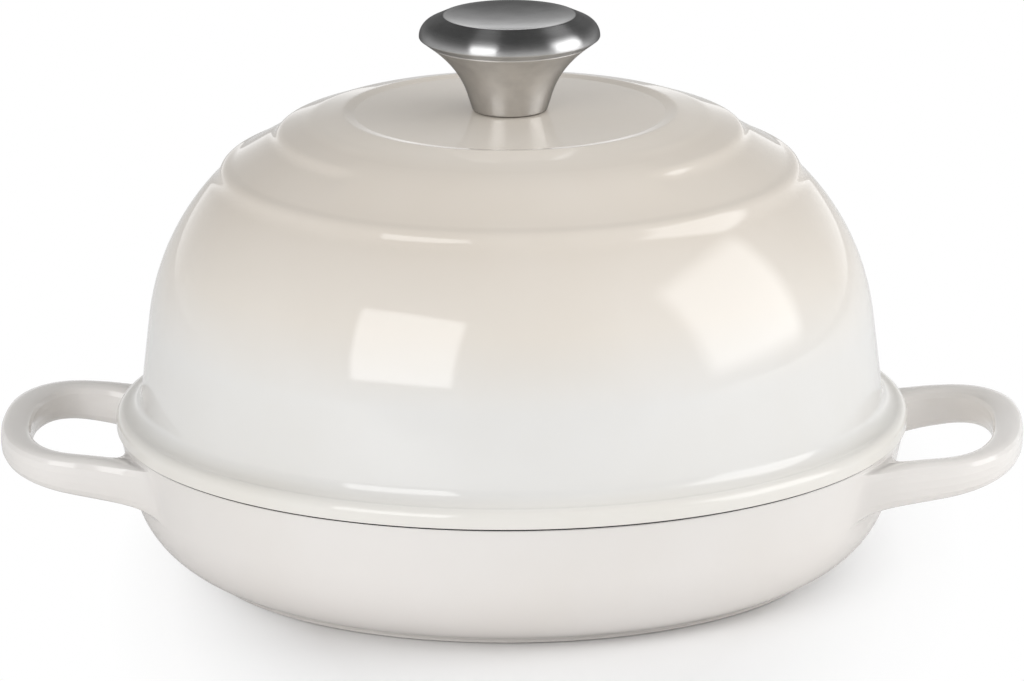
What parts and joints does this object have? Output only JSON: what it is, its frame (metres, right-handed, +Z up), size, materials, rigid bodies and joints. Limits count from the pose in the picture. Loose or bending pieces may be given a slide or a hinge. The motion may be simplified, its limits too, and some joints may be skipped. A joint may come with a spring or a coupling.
{
  "type": "bread cloche",
  "caption": "Shallow round baking dish of enamelled cast iron with loop handles and a tall domed lid with a stepped crown, lifted off by a polished steel knob.",
  "frame": {"origin": "middle of the flat underside that the dish stands on", "axes": "+Z up through the knob, +X along the two handles, -Y towards the plain front of the lid"},
  "size_m": [0.328, 0.2536, 0.1779],
  "materials": {
    "dish_enamel": "glossy warm white enamel outside, black satin enamel inside, on cast iron",
    "lid_enamel": "glossy warm white enamel outside, black satin enamel inside, on cast iron",
    "polished_steel": "mirror polished stainless steel",
    "satin_steel": "satin blasted stainless steel",
    "plated_steel": "plain turned stainless steel"
  },
  "bodies": {
    "base": {"base_dish": "dish_enamel"},
    "lid": {"cloche_lid": "lid_enamel", "knob_cap": "polished_steel", "knob_stem": "satin_steel", "knob_insert": "plated_steel", "knob_screw": "plated_steel", "screw_washer": "plated_steel"}
  },
  "joints": [
    {"name": "lid_lift", "type": "slide", "parent": "base", "child": "lid", "axis": [0, 0, 1], "range_m": [0, 0.15]}
  ]
}
